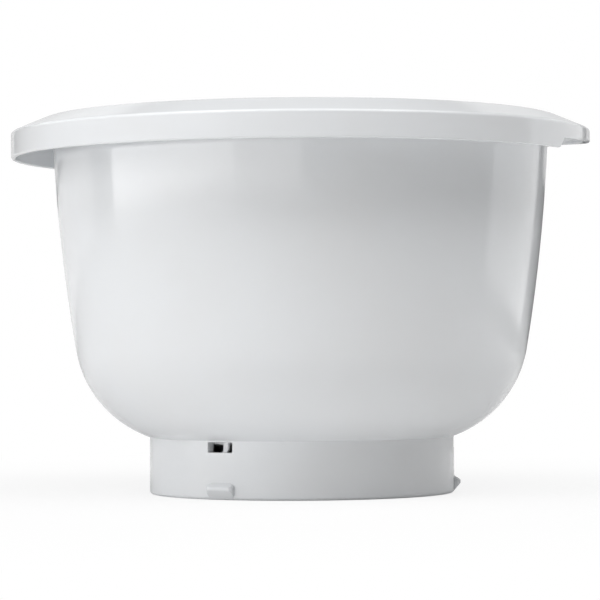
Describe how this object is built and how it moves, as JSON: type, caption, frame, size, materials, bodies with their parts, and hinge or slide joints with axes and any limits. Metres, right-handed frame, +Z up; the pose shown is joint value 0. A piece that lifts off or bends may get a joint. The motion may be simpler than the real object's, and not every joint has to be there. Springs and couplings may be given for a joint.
{
  "type": "stand mixer bowl",
  "caption": "White plastic mixing bowl with a broad open-bottomed rim flange and a hollow foot ring that locks into a mixer's base with bayonet lugs.",
  "frame": {"origin": "centre of the foot's lower edge, where the bowl's axis meets the plane that it stands on", "axes": "+Z up along the bowl's axis, -Y towards the viewer of the picture, +X to the viewer's right"},
  "size_m": [0.254, 0.254, 0.1639],
  "materials": {
    "bowl_plastic": "smooth glossy white moulded plastic"
  },
  "bodies": {
    "root": {"mixing_bowl": "bowl_plastic"}
  },
  "joints": []
}
